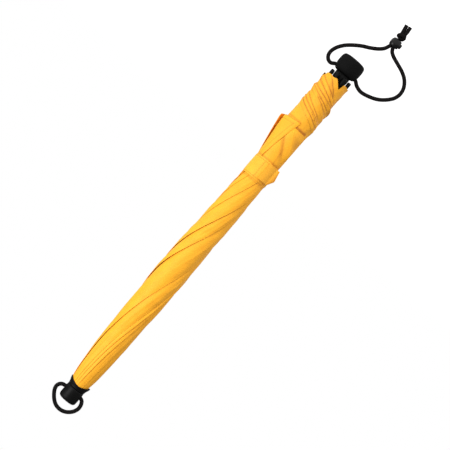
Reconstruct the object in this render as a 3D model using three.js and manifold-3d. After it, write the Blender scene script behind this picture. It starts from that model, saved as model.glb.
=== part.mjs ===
// A closed stick umbrella with a short knob handle, as separate pieces.
// Millimetres, +Z up: the crown is at the top, the knob at the bottom, and the origin is the knob's centre.

import * as THREE from "three";
import { mergeVertices } from "three/addons/utils/BufferGeometryUtils.js";
import Module from "manifold-3d";

// Ribs and stretchers
const RIBS = 8;
const SECTOR = (2 * Math.PI) / RIBS;
const FIRST_RIB = -Math.PI / 2 + SECTOR / 2;
const PIVOT_RADIUS = 9;
const CROWN_PIVOT_Z = 618;
const LINK = 240; // from rib pivot to stretcher pivot, and the stretcher's own length
const SPLAY = (0.5 * Math.PI) / 180; // how far a closed rib leans outward
const RIB_LENGTH = 600;
const ROD_RADIUS = 1.5;
const ROD_OFFSET = 3; // the rod lies outside its pivots, so the stretcher nests inside it
const TIP_RADIUS = 3;
const RUNNER_PIVOT_Z = CROWN_PIVOT_Z - 2 * LINK * Math.cos(SPLAY);

// Shaft, runner and stops
const SHAFT_RADIUS = 5.5;
const SHAFT_BORE = 4.2;
const SHAFT_BOTTOM = -3;
const SHAFT_TOP = 640;
const GAP = 0.3;
const RUNNER_BORE = 5.9;
const RUNNER_RADIUS = 7.6;
const FLANGE_RADIUS = 12.6;
const SLOT_HALF = 1.35;
const RUNNER_LENGTH = 50;
const BUTTON_Z = 106;

// Handle
const KNOB_RADIUS = 20.6;
const KNOB_BOTTOM = -14;
const KNOB_TOP = 13.5;
const CORD_HOLE_Z = 7.6;
const CORD_HOLE_RADIUS = 4.6;
const CORD_RADIUS = 3;

// Tip
const COLLAR_BOTTOM = 622.3;
const CAP_BOTTOM = 633.2;
const CAP_TOP = 656;
const CAP_RADIUS = 14.8;
const LOOP_RADIUS = 2.8;
const LOOP_Z = 640;

// Canopy
const HEM_Z = 27;
const CANOPY_TOP = 621.6;
const STRAP_LOW = 187;
const STRAP_HIGH = 221;

const YELLOW = 0xf7bd34;
const BLACK = 0x17181a;

const wasm = await Module();
wasm.setup();

// Joins the vertices that lie together and makes every face point out.
function closed(geometry) {
  const plain = geometry.clone();
  plain.deleteAttribute("normal");
  plain.deleteAttribute("uv");
  const merged = mergeVertices(plain, 1e-4);
  const p = merged.attributes.position;
  const kept = [];
  let volume = 0;
  for (let i = 0; i < merged.index.count; i += 3) {
    const a = merged.index.getX(i);
    const b = merged.index.getX(i + 1);
    const c = merged.index.getX(i + 2);
    if (a === b || b === c || c === a) continue;
    kept.push(a, b, c);
    const va = new THREE.Vector3().fromBufferAttribute(p, a);
    const vb = new THREE.Vector3().fromBufferAttribute(p, b);
    const vc = new THREE.Vector3().fromBufferAttribute(p, c);
    volume += va.dot(vb.cross(vc)) / 6;
  }
  if (volume < 0) kept.reverse();
  merged.setIndex(kept);
  return merged;
}

function solid(geometry) {
  const g = closed(geometry);
  return new wasm.Manifold(
    new wasm.Mesh({
      numProp: 3,
      vertProperties: new Float32Array(g.attributes.position.array),
      triVerts: new Uint32Array(g.index.array),
    }),
  );
}

function fromSolid(s) {
  const m = s.getMesh();
  const g = new THREE.BufferGeometry();
  g.setAttribute("position", new THREE.Float32BufferAttribute(m.vertProperties, 3));
  g.setIndex(Array.from(m.triVerts));
  return g;
}

// A turned shape about Z. The outline is [radius, z] pairs.
function turned(outline, segments) {
  const g = new THREE.LatheGeometry(outline.map(([r, z]) => new THREE.Vector2(r, z)), segments);
  g.rotateX(Math.PI / 2);
  return g;
}

function ring(inner, outer, low, high, segments) {
  return turned([[inner, low], [outer, low], [outer, high], [inner, high], [inner, low]], segments);
}

function rod(radius, low, high, sides) {
  return turned([[0, low], [radius, low], [radius, high], [0, high]], sides);
}

// A round bar along X.
function crossRod(radius, from, to, z, sides) {
  const g = new THREE.CylinderGeometry(radius, radius, to - from, sides);
  g.rotateZ(Math.PI / 2);
  g.translate((from + to) / 2, 0, z);
  return g;
}

function block(x0, x1, y0, y1, z0, z1) {
  const g = new THREE.BoxGeometry(x1 - x0, y1 - y0, z1 - z0);
  g.translate((x0 + x1) / 2, (y0 + y1) / 2, (z0 + z1) / 2);
  return g;
}

function tube(points, radius, sides, steps) {
  const curve = new THREE.CatmullRomCurve3(points.map(([x, z]) => new THREE.Vector3(x, 0, z)));
  const section = new THREE.Shape();
  for (let i = 0; i < sides; i++) {
    const a = ((i + 0.5) * 2 * Math.PI) / sides;
    if (i === 0) section.moveTo(radius * Math.cos(a), radius * Math.sin(a));
    else section.lineTo(radius * Math.cos(a), radius * Math.sin(a));
  }
  section.closePath();
  return new THREE.ExtrudeGeometry(section, { steps, extrudePath: curve, bevelEnabled: false });
}

// A flat plate in the X-Z plane, centred on Y, drawn as [x, z] pairs.
function plate(outline, thickness) {
  const shape = new THREE.Shape(outline.map(([x, z]) => new THREE.Vector2(x, z)));
  const g = new THREE.ExtrudeGeometry(shape, { depth: thickness, bevelEnabled: false });
  g.rotateX(Math.PI / 2);
  g.translate(0, thickness / 2, 0);
  return g;
}

const group = new THREE.Group();

function piece(name, geometry, color, roughness, metalness, parent = group) {
  const material = new THREE.MeshStandardMaterial({ color, roughness, metalness });
  const mesh = new THREE.Mesh(closed(geometry), material);
  mesh.name = name;
  parent.add(mesh);
  return mesh;
}

// Handle: a knob with a cross hole for the wrist cord, and the seat that the rib tips lie round
const knobBody = turned(
  [
    [0, KNOB_BOTTOM], [16.2, KNOB_BOTTOM], [18.6, KNOB_BOTTOM + 0.9], [20.1, KNOB_BOTTOM + 3],
    [KNOB_RADIUS, KNOB_BOTTOM + 6.5], [KNOB_RADIUS, 4], [20, 8], [18.4, 11.2], [16.2, KNOB_TOP],
    [SHAFT_RADIUS + GAP, KNOB_TOP], [SHAFT_RADIUS + GAP, SHAFT_BOTTOM - GAP], [0, SHAFT_BOTTOM - GAP],
  ],
  32,
);
const cordHole = solid(crossRod(CORD_HOLE_RADIUS, -30, 30, CORD_HOLE_Z, 20));
piece("handle_knob", fromSolid(solid(knobBody).subtract(cordHole)), BLACK, 0.72, 0);
piece(
  "rib_tip_seat",
  turned(
    [
      [SHAFT_RADIUS + GAP, KNOB_TOP + GAP], [12.6, KNOB_TOP + GAP], [12.6, 22], [11.6, 27], [9.4, 33],
      [SHAFT_RADIUS + GAP, 33], [SHAFT_RADIUS + GAP, KNOB_TOP + GAP],
    ],
    32,
  ),
  BLACK, 0.55, 0,
);

// Shaft: a tube from the knob to the tip cap, cross-drilled for the wrist cord
const shaftBody = solid(ring(SHAFT_BORE, SHAFT_RADIUS, SHAFT_BOTTOM, SHAFT_TOP, 32));
const shaftHole = solid(crossRod(CORD_RADIUS + 0.4, -10, 10, CORD_HOLE_Z, 16));
piece("shaft_tube", fromSolid(shaftBody.subtract(shaftHole)), 0x2a2b2d, 0.35, 0.1);
const lowerStopTop = RUNNER_PIVOT_Z + 6 - RUNNER_LENGTH - GAP - 6;
piece("lower_stop", ring(SHAFT_RADIUS + GAP, 7.4, lowerStopTop - 4, lowerStopTop, 16), BLACK, 0.5, 0);
piece("upper_stop", ring(SHAFT_RADIUS + GAP, 7.4, 505.4, 509.4, 16), BLACK, 0.5, 0);

// Crown notch: a slotted ring that holds the eight rib pivots
function slots(low, high) {
  const one = block(6.9, 20, -SLOT_HALF, SLOT_HALF, low, high);
  let all = null;
  for (let i = 0; i < RIBS; i++) {
    const g = one.clone();
    g.rotateZ(FIRST_RIB + i * SECTOR);
    all = all ? all.add(solid(g)) : solid(g);
  }
  return all;
}
const notchTop = CROWN_PIVOT_Z + 3.9;
const notchBody = solid(ring(SHAFT_RADIUS + GAP, FLANGE_RADIUS, CROWN_PIVOT_Z - 6, notchTop, 32));
piece(
  "crown_notch",
  fromSolid(notchBody.subtract(slots(CROWN_PIVOT_Z - 10, CROWN_PIVOT_Z + 2.3))),
  BLACK, 0.5, 0,
);

// Tip: a flared collar over the canopy's centre, and the cap that holds the carrying loop
piece(
  "canopy_collar",
  turned(
    [
      [SHAFT_RADIUS + GAP, COLLAR_BOTTOM], [13.4, COLLAR_BOTTOM], 
      [17, COLLAR_BOTTOM], [16.7, COLLAR_BOTTOM + 1.8], [15.1, COLLAR_BOTTOM + 5], [14.5, 630],
      [14.5, CAP_BOTTOM - GAP], [SHAFT_RADIUS + GAP, CAP_BOTTOM - GAP], [SHAFT_RADIUS + GAP, COLLAR_BOTTOM],
    ],
    32,
  ),
  BLACK, 0.6, 0,
);
const capBody = turned(
  [
    [0, SHAFT_TOP + GAP], [SHAFT_RADIUS + GAP, SHAFT_TOP + GAP], [SHAFT_RADIUS + GAP, CAP_BOTTOM],
    [14.3, CAP_BOTTOM], [CAP_RADIUS, CAP_BOTTOM + 1], [CAP_RADIUS, CAP_TOP - 5],
    [14, CAP_TOP - 2.2], [12, CAP_TOP - 0.5], [9.5, CAP_TOP], [0, CAP_TOP],
  ],
  32,
);
const loopHoles = solid(crossRod(LOOP_RADIUS + GAP, 9.5, 20, LOOP_Z, 16)).add(
  solid(crossRod(LOOP_RADIUS + GAP, -20, -9.5, LOOP_Z, 16)),
);
piece("tip_cap", fromSolid(solid(capBody).subtract(loopHoles)), BLACK, 0.6, 0);
piece(
  "tip_loop",
  tube(
    [
      [10.2, LOOP_Z], [15, LOOP_Z], [19.8, 641], [23.2, 643.8], [24.9, 648.4], [24, 653.6], [20.2, 660],
      [14.2, 666.6], [7.6, 671], [-0.6, 672.6], [-8.8, 671], [-15.2, 667], [-20.4, 660.6], [-22.6, 653.4],
      [-21.6, 646.6], [-18.8, 642], [-14.8, LOOP_Z], [-10.2, LOOP_Z],
    ],
    LOOP_RADIUS, 8, 46,
  ),
  BLACK, 0.7, 0,
);

// Runner: a sleeve with a slotted flange and a sprung release button
const runnerTop = RUNNER_PIVOT_Z + 6;
const runnerBottom = lowerStopTop + GAP;
const sleeve = solid(
  turned(
    [
      [RUNNER_BORE, runnerBottom], [RUNNER_RADIUS + 1, runnerBottom], [RUNNER_RADIUS + 1, runnerBottom + 3],
      [RUNNER_RADIUS, runnerBottom + 6], [RUNNER_RADIUS, RUNNER_PIVOT_Z - 10],
      [FLANGE_RADIUS, RUNNER_PIVOT_Z - 5], [FLANGE_RADIUS, runnerTop], [RUNNER_BORE, runnerTop],
      [RUNNER_BORE, runnerBottom],
    ],
    32,
  ),
);
const boss = solid(crossRod(4.4, 6.6, 9.4, BUTTON_Z, 20)).subtract(
  solid(rod(RUNNER_BORE + 0.1, BUTTON_Z - 8, BUTTON_Z + 8, 32)),
);
const buttonHole = solid(crossRod(2.7, 4, 12, BUTTON_Z, 16));
piece(
  "runner",
  fromSolid(sleeve.add(boss).subtract(buttonHole).subtract(slots(RUNNER_PIVOT_Z - 1.9, runnerTop + 3))),
  BLACK, 0.45, 0,
);
piece("release_button", crossRod(2.35, 7.7, 12, BUTTON_Z, 16), 0x8d9094, 0.4, 0);

// Ribs and stretchers, each drawn in its own upright frame: X outward, the pivot at the origin
function roundEnd(cx, cz, radius, from, to, steps) {
  const out = [];
  for (let i = 0; i <= steps; i++) {
    const a = from + ((to - from) * i) / steps;
    out.push([cx + radius * Math.cos(a), cz + radius * Math.sin(a)]);
  }
  return out;
}
const eye = plate(
  [
    ...roundEnd(0, 0, 1.9, 0, Math.PI, 8), [-1.9, -2], [1.2, -10], [1.2, -18],
    [ROD_OFFSET + 0.6, -18], [ROD_OFFSET + 0.6, -9.5], [1.9, -3],
  ],
  2,
);
const ribRod = rod(ROD_RADIUS, -(RIB_LENGTH - 12), -9, 8);
ribRod.translate(ROD_OFFSET, 0, 0);
const ribShape = fromSolid(solid(eye).add(solid(ribRod)));
const tipShape = turned(
  [
    [ROD_RADIUS + GAP, -(RIB_LENGTH - 24)], [ROD_RADIUS + GAP, -(RIB_LENGTH - 11.7)],
    [0, -(RIB_LENGTH - 11.7)], [0, -RIB_LENGTH], [2.4, -RIB_LENGTH], [TIP_RADIUS, -RIB_LENGTH + 1],
    [TIP_RADIUS, -(RIB_LENGTH - 11)], [2.15, -(RIB_LENGTH - 13)], [2.15, -(RIB_LENGTH - 24)],
    [ROD_RADIUS + GAP, -(RIB_LENGTH - 24)],
  ],
  8,
);
tipShape.translate(ROD_OFFSET, 0, 0);
const bracketBody = solid(block(-2.2, 5, -2.5, 2.5, -LINK - 5, -LINK + 5));
const bracketBore = rod(ROD_RADIUS + 0.25, -LINK - 9, -LINK + 9, 8);
bracketBore.translate(ROD_OFFSET, 0, 0);
const bracketSlot = solid(block(-4, 1.9, -SLOT_HALF, SLOT_HALF, -LINK - 9, -LINK + 9));
const bracketShape = fromSolid(bracketBody.subtract(solid(bracketBore)).subtract(bracketSlot));
const stretcherShape = plate(
  [
    ...roundEnd(0, 0, 1.1, 0, Math.PI, 6),
    ...roundEnd(0, -LINK, 1.1, Math.PI, 2 * Math.PI, 6),
  ],
  2,
);

// Canopy: eight gores gathered into sectors round the ribs
function innerRadius(z) {
  const straight = PIVOT_RADIUS + ROD_OFFSET + 2.4 + (CROWN_PIVOT_Z - z) * Math.sin(SPLAY);
  return z < 46 ? straight + Math.min(1, (46 - z) / 4) * 0.95 : straight;
}
const bundle = new THREE.CatmullRomCurve3(
  [
    [22.6, HEM_Z], [22.2, 60], [22.6, 90], [24.6, 112], [25.6, 130], [24, 150], [21.6, 176], [20.3, 190],
    [20.2, 218], [21, 240], [22, 290], [23.2, 350], [24, 400], [23, 450], [21.6, 500], [20, 550],
    [18.6, 590], [16.6, CANOPY_TOP],
  ].map(([r, z]) => new THREE.Vector3(r, 0, z)),
);
function outerRadius(z) {
  let low = 0;
  let high = 1;
  for (let i = 0; i < 24; i++) {
    const middle = (low + high) / 2;
    if (bundle.getPoint(middle).z < z) low = middle;
    else high = middle;
  }
  return bundle.getPoint(low).x;
}
function lean(z) {
  const side = 1.8 * Math.min(1, (CANOPY_TOP - z) / 150) * (Math.abs(z - 205) < 30 ? 0.5 : 1);
  return side;
}
const LEVELS = [HEM_Z, 42, 46, 90, 115, 132, 152, 184, 224, 300, 380, 460, 540, 600, CANOPY_TOP];
function gore(from, to) {
  const across = 3;
  const rows = [];
  for (const z of LEVELS) {
    const row = [];
    const at = (radius, angle) => [radius * Math.cos(angle), radius * Math.sin(angle), z];
    const inner = innerRadius(z);
    for (let k = 0; k <= across; k++) {
      const angle = from + ((to - from) * k) / across;
      const outer = Math.max(outerRadius(z) + lean(z) * Math.cos(angle), inner / Math.cos(SECTOR / 6) + 0.9);
      row.push(at(outer, angle));
    }
    for (let k = across; k >= 0; k--) {
      row.push(at(inner / Math.cos(SECTOR / 6), from + ((to - from) * k) / across));
    }
    rows.push(row);
  }
  const n = rows[0].length;
  const points = rows.flat(2);
  const faces = [];
  for (let j = 0; j + 1 < rows.length; j++) {
    for (let k = 0; k < n; k++) {
      const a = j * n + k;
      const b = j * n + ((k + 1) % n);
      faces.push(a, b, b + n, a, b + n, a + n);
    }
  }
  for (let k = 0; k + 1 < n / 2; k++) {
    const other = n - 1 - k;
    const top = (rows.length - 1) * n;
    faces.push(k, other, other - 1, k, other - 1, k + 1);
    faces.push(top + k, top + other - 1, top + other, top + k, top + k + 1, top + other - 1);
  }
  const g = new THREE.BufferGeometry();
  g.setAttribute("position", new THREE.Float32BufferAttribute(points, 3));
  g.setIndex(faces);
  return g;
}

for (let i = 0; i < RIBS; i++) {
  const n = i + 1;
  const angle = FIRST_RIB + i * SECTOR;
  const sector = new THREE.Group();
  sector.rotation.z = angle;
  group.add(sector);
  const leaning = new THREE.Group();
  leaning.position.set(PIVOT_RADIUS, 0, CROWN_PIVOT_Z);
  leaning.rotation.y = -SPLAY;
  sector.add(leaning);
  piece(`rib_rod_${n}`, ribShape, 0x26272a, 0.4, 0.1, leaning);
  piece(`rib_tip_${n}`, tipShape, BLACK, 0.5, 0, leaning);
  piece(`rib_bracket_${n}`, bracketShape, 0x3a3c40, 0.4, 0.3, leaning);
  const lower = new THREE.Group();
  lower.position.set(
    PIVOT_RADIUS + LINK * Math.sin(SPLAY), 0, CROWN_PIVOT_Z - LINK * Math.cos(SPLAY),
  );
  lower.rotation.y = SPLAY;
  sector.add(lower);
  piece(`stretcher_${n}`, stretcherShape, 0x3a3c40, 0.35, 0.6, lower);
  const margin = 0.2 / 20;
  piece(`canopy_gore_${n}`, gore(angle + margin, angle + SECTOR - margin), YELLOW, 0.62, 0);
}

// Closing strap round the bundle, with its folded end standing off it
function band(low, high, gap, thickness, from, to, steps, whole) {
  const points = [];
  const faces = [];
  const sides = [[low, gap], [low, gap + thickness], [high, gap + thickness], [high, gap]];
  const count = whole ? steps : steps + 1;
  for (let k = 0; k < count; k++) {
    const angle = from + ((to - from) * k) / steps;
    const base = outerRadius(204) + 0.9 + lean(204) * Math.cos(angle);
    for (const [z, off] of sides) {
      points.push((base + off) * Math.cos(angle), (base + off) * Math.sin(angle), z);
    }
  }
  for (let k = 0; k < steps; k++) {
    const next = whole ? ((k + 1) % steps) * 4 : (k + 1) * 4;
    for (let s = 0; s < 4; s++) {
      const a = k * 4 + s;
      const b = k * 4 + ((s + 1) % 4);
      const c = next + ((s + 1) % 4);
      const d = next + s;
      faces.push(a, b, c, a, c, d);
    }
  }
  if (!whole) {
    const e = steps * 4;
    faces.push(0, 2, 1, 0, 3, 2, e, e + 1, e + 2, e, e + 2, e + 3);
  }
  const g = new THREE.BufferGeometry();
  g.setAttribute("position", new THREE.Float32BufferAttribute(points, 3));
  g.setIndex(faces);
  return g;
}
piece("closing_strap", band(STRAP_LOW, STRAP_HIGH, 0, 1.2, 0, 2 * Math.PI, 40, true), YELLOW, 0.6, 0);
const leaveAngle = (-118 * Math.PI) / 180;
const leaveX = 0.6 + 22.75 * Math.cos(leaveAngle);
const leaveY = 22.75 * Math.sin(leaveAngle);
const fold = new THREE.Shape();
fold.moveTo(leaveX, leaveY);
fold.lineTo(leaveX - 15.9, leaveY + 4.2);
fold.lineTo(leaveX - 16.3, leaveY + 2.6);
fold.lineTo(leaveX - 0.4, leaveY - 1.6);
fold.closePath();
const tab = new THREE.ExtrudeGeometry(fold, { depth: 18, bevelEnabled: false });
tab.translate(0, 0, 188);
piece("strap_end", tab, YELLOW, 0.6, 0);

// Wrist cord: one cord through the knob, drawn as its two strands, with a lock and a knot below
piece(
  "wrist_cord_right",
  tube(
    [
      [0.2, CORD_HOLE_Z], [8, CORD_HOLE_Z], [15, CORD_HOLE_Z], [20, 8.9], [25.6, 12.2], [31.4, 11.4],
      [36.2, 6], [37.2, -1], [34.4, -10.4], [27.4, -20.6], [17.4, -29.6], [6.4, -37.2], [-4.6, -43],
      [-14.4, -49.4], [-21.2, -56], [-24.7, -63.4],
    ],
    CORD_RADIUS, 8, 44,
  ),
  BLACK, 0.8, 0,
);
piece(
  "wrist_cord_left",
  tube(
    [
      [-0.2, CORD_HOLE_Z], [-8, CORD_HOLE_Z], [-15, CORD_HOLE_Z], [-20, 9.2], [-26, 13.6],
      [-36, 16.6], [-50, 14.2], [-64, 8.4], [-75, -0.6], [-81.8, -10], [-84, -20], [-81.6, -30.4],
      [-74.4, -40], [-64, -46.6], [-50, -51.8], [-40.4, -55.4], [-34, -59.4], [-31.2, -63.6],
    ],
    CORD_RADIUS, 8, 64,
  ),
  BLACK, 0.8, 0,
);
const LOCK_X = -28.2;
const LOCK_Z = -73;
const lockBall = turned(
  [[0, -7.2], [4.8, -7], [7, -4.8], [7.7, 0], [7.4, 4.6], [6.6, 7.3], [0, 7.3]], 24,
);
lockBall.translate(LOCK_X, 0, LOCK_Z);
const lockBarrel = crossRod(5.4, LOCK_X - 8.4, LOCK_X, LOCK_Z, 20);
const lockHole = crossRod(4.3, LOCK_X - 20, LOCK_X - 3.4, LOCK_Z, 20);
piece("cord_lock_body", fromSolid(solid(lockBall).add(solid(lockBarrel)).subtract(solid(lockHole))), BLACK, 0.4, 0);
piece("cord_lock_button", crossRod(3.9, LOCK_X - 11.6, LOCK_X - 6.8, LOCK_Z, 20), 0x202124, 0.35, 0);
const KNOT_X = -29.6;
const knotBody = turned(
  [[0, -93.4], [3.6, -93.2], [5.6, -90.6], [6.4, -87], [5.4, -83], [2.6, -80.4], [0, -80.3]], 16,
);
knotBody.translate(KNOT_X, 0, 0);
const tailOne = tube([[KNOT_X + 2, -90], [KNOT_X + 3.8, -97], [KNOT_X + 5, -104.6]], CORD_RADIUS, 10, 4);
const tailTwo = tube([[KNOT_X - 2, -90], [KNOT_X - 2.2, -97], [KNOT_X - 1.3, -105.4]], CORD_RADIUS, 10, 4);
piece("cord_knot", fromSolid(solid(knotBody).add(solid(tailOne)).add(solid(tailTwo))), BLACK, 0.8, 0);

export default group;
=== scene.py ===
import math
import bpy
import bmesh
import numpy as np
from mathutils import Matrix, Vector, noise


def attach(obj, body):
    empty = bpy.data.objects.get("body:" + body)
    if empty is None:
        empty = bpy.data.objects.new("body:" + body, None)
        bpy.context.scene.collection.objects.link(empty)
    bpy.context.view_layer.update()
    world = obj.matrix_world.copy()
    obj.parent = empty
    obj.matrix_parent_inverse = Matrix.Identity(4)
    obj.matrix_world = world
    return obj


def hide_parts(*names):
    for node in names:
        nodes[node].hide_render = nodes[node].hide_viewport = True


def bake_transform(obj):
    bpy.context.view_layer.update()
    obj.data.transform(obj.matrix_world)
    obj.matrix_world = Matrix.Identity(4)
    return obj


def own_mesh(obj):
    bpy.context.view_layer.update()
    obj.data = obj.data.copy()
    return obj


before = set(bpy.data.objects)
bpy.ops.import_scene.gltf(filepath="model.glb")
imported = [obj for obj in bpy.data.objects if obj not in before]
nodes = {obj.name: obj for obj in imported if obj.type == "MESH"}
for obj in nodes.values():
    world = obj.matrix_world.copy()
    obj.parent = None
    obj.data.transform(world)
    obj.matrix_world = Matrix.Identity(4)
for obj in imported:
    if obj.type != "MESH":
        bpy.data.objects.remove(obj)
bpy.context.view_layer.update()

# Camera and studio. The umbrella hangs in a white studio, seen square to its shaft with the
# handle to the upper right, under one broad lamp at its +X side, with weak fills in front and above.
CAMERA_DISTANCE = 2.5
VIEW_WIDTH = 0.676
FLOOR_Z = -0.16

camera_data = bpy.data.cameras.new("camera")
camera_data.sensor_width = 36
camera_data.lens = camera_data.sensor_width * CAMERA_DISTANCE / VIEW_WIDTH
camera_data.clip_end = 50
camera = bpy.data.objects.new("camera", camera_data)
bpy.context.scene.collection.objects.link(camera)
camera.matrix_world = Matrix((
    (-0.76104, 0.6487, 0, -0.0112),
    (0, 0, -1, -CAMERA_DISTANCE),
    (-0.6487, -0.76104, 0, 0.3010),
    (0, 0, 0, 1),
))
bpy.context.scene.camera = camera
bpy.context.scene.view_settings.view_transform = "Standard"
bpy.context.scene.view_settings.look = "None"


def lamp(name, place, size, power):
    """A round lamp that faces the middle of the umbrella."""
    data = bpy.data.lights.new(name, "AREA")
    data.shape = "DISK"
    data.size = size
    data.energy = power
    light = bpy.data.objects.new(name, data)
    bpy.context.scene.collection.objects.link(light)
    light.location = place
    light.rotation_euler = (Vector((0, 0, 0.3)) - Vector(place)).to_track_quat("-Z", "Y").to_euler()


lamp("key", (1.25, -1.35, 0.92), 1.1, 31)
lamp("front_fill", (-0.5, -2.1, 0.2), 1.6, 3)
lamp("top_fill", (0.4, 0.3, 1.9), 1.2, 3)

world = bpy.data.worlds.new("studio")
bpy.context.scene.world = world
world.use_nodes = True
tree = world.node_tree
tree.nodes.clear()
sky = tree.nodes.new("ShaderNodeBackground")
sky.inputs["Color"].default_value = (1, 1, 1, 1)
sky.inputs["Strength"].default_value = 0.26
seen = tree.nodes.new("ShaderNodeBackground")
seen.inputs["Color"].default_value = (1, 1, 1, 1)
seen.inputs["Strength"].default_value = 1.0
path = tree.nodes.new("ShaderNodeLightPath")
mix = tree.nodes.new("ShaderNodeMixShader")
out = tree.nodes.new("ShaderNodeOutputWorld")
tree.links.new(path.outputs["Is Camera Ray"], mix.inputs["Fac"])
tree.links.new(sky.outputs[0], mix.inputs[1])
tree.links.new(seen.outputs[0], mix.inputs[2])
tree.links.new(mix.outputs[0], out.inputs["Surface"])

floor_mesh = bpy.data.meshes.new("studio_floor")
corners = [(x, y, FLOOR_Z) for x, y in ((-9, -9), (9, -9), (9, 9), (-9, 9))]
floor_mesh.from_pydata(corners, [], [(0, 1, 2, 3)])
floor = bpy.data.objects.new("studio_floor", floor_mesh)
bpy.context.scene.collection.objects.link(floor)
floor_paint = bpy.data.materials.new("studio_floor")
floor_paint.use_nodes = True
tree = floor_paint.node_tree
tree.nodes.clear()
pale = tree.nodes.new("ShaderNodeBsdfDiffuse")
pale.inputs["Color"].default_value = (0.9, 0.9, 0.9, 1)
glow = tree.nodes.new("ShaderNodeEmission")
glow.inputs["Strength"].default_value = 0.8
both = tree.nodes.new("ShaderNodeAddShader")
out = tree.nodes.new("ShaderNodeOutputMaterial")
tree.links.new(pale.outputs[0], both.inputs[0])
tree.links.new(glow.outputs[0], both.inputs[1])
tree.links.new(both.outputs[0], out.inputs["Surface"])
floor_mesh.materials.append(floor_paint)


# Wrist cord: one black braided round cord, 6 mm thick, through the knob's cross hole.
# It hangs as two strands that meet in a sprung cord lock, and ends in a knot with two cut tails.
def link(name, mesh):
    piece = bpy.data.objects.new(name, mesh)
    bpy.context.scene.collection.objects.link(piece)
    return piece


def smooth_route(points, count):
    """A centripetal Catmull-Rom line, as even points in metres. points are (x, z) or (x, y, z) in millimetres."""
    p = np.array([(q[0], 0, q[1]) if len(q) == 2 else q for q in points], float) / 1000
    p = np.vstack([2 * p[0] - p[1], p, 2 * p[-1] - p[-2]])
    fine = []
    for a, b, c, d in zip(p, p[1:], p[2:], p[3:]):
        k = np.cumsum([0] + [math.sqrt(np.linalg.norm(y - x)) for x, y in ((a, b), (b, c), (c, d))])
        for t in np.linspace(k[1], k[2], 24, endpoint=False):
            ab = a + (b - a) * (t - k[0]) / (k[1] - k[0])
            bc = b + (c - b) * (t - k[1]) / (k[2] - k[1])
            cd = c + (d - c) * (t - k[2]) / (k[3] - k[2])
            abc = ab + (bc - ab) * (t - k[0]) / (k[2] - k[0])
            bcd = bc + (cd - bc) * (t - k[1]) / (k[3] - k[1])
            fine.append(abc + (bcd - abc) * (t - k[1]) / (k[2] - k[1]))
    fine = np.array(fine + [p[-2]])
    run = np.concatenate([[0], np.cumsum(np.linalg.norm(np.diff(fine, axis=0), axis=1))])
    even = np.linspace(0, run[-1], count)
    return np.array([np.interp(even, run, fine[:, i]) for i in range(3)]).T


def round_cord(name, line, radius, sides=14):
    """A closed tube along line, with a UV map that runs round it and along it in metres."""
    line = np.asarray(line, float)
    along_it = np.gradient(line, axis=0)
    along_it /= np.linalg.norm(along_it, axis=1)[:, None]
    up = np.array([0.0, 1.0, 0.0]) if abs(along_it[0][1]) < 0.9 else np.array([1.0, 0, 0])
    run = np.concatenate([[0], np.cumsum(np.linalg.norm(np.diff(line, axis=0), axis=1))])
    rings = []
    for p, t in zip(line, along_it):
        side = np.cross(t, up)
        side /= np.linalg.norm(side)
        up = np.cross(side, t)
        angles = np.linspace(0, 2 * math.pi, sides, endpoint=False)
        rings.append([p + radius * (math.cos(a) * side + math.sin(a) * up) for a in angles])
    points = [tuple(q) for ring in rings for q in ring] + [tuple(line[0]), tuple(line[-1])]
    faces, uv = [], []
    for i in range(len(rings) - 1):
        for k in range(sides):
            n = (k + 1) % sides
            faces.append((i * sides + k, (i + 1) * sides + k, (i + 1) * sides + n, i * sides + n))
            a, b = k / sides * 2 * math.pi * radius, (k + 1) / sides * 2 * math.pi * radius
            uv += [(a, run[i]), (a, run[i + 1]), (b, run[i + 1]), (b, run[i])]
    first, last = len(points) - 2, len(points) - 1
    for k in range(sides):
        n = (k + 1) % sides
        faces.append((first, k, n))
        uv += [(0, 0), (0, 0), (0, 0)]
        end = (len(rings) - 1) * sides
        faces.append((last, end + n, end + k))
        uv += [(0, run[-1])] * 3
    mesh = bpy.data.meshes.new(name)
    mesh.from_pydata(points, [], faces)
    layer = mesh.uv_layers.new(name="along")
    layer.data.foreach_set("uv", np.array(uv, np.float32).ravel())
    mesh.polygons.foreach_set("use_smooth", [True] * len(mesh.polygons))
    mesh.update()
    piece = link(name, mesh)
    facing_out(piece)
    return piece


def facing_out(piece):
    work = bmesh.new()
    work.from_mesh(piece.data)
    bmesh.ops.recalc_face_normals(work, faces=work.faces)
    work.to_mesh(piece.data)
    work.free()


def effect_group(name, inputs, outputs):
    group = bpy.data.node_groups.new(name, "ShaderNodeTree")
    for label, kind, value in inputs:
        made = group.interface.new_socket(label, in_out="INPUT", socket_type=kind)
        if value is not None:
            made.default_value = value
    for label, kind in outputs:
        group.interface.new_socket(label, in_out="OUTPUT", socket_type=kind)
    return group, group.nodes.new("NodeGroupInput"), group.nodes.new("NodeGroupOutput")


def maths(tree, operation, a, b=None, c=None):
    node = tree.nodes.new("ShaderNodeMath")
    node.operation = operation
    for i, value in enumerate((a, b, c)):
        if value is None:
            continue
        if hasattr(value, "links"):
            tree.links.new(value, node.inputs[i])
        else:
            node.inputs[i].default_value = value
    return node.outputs[0]


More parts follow.
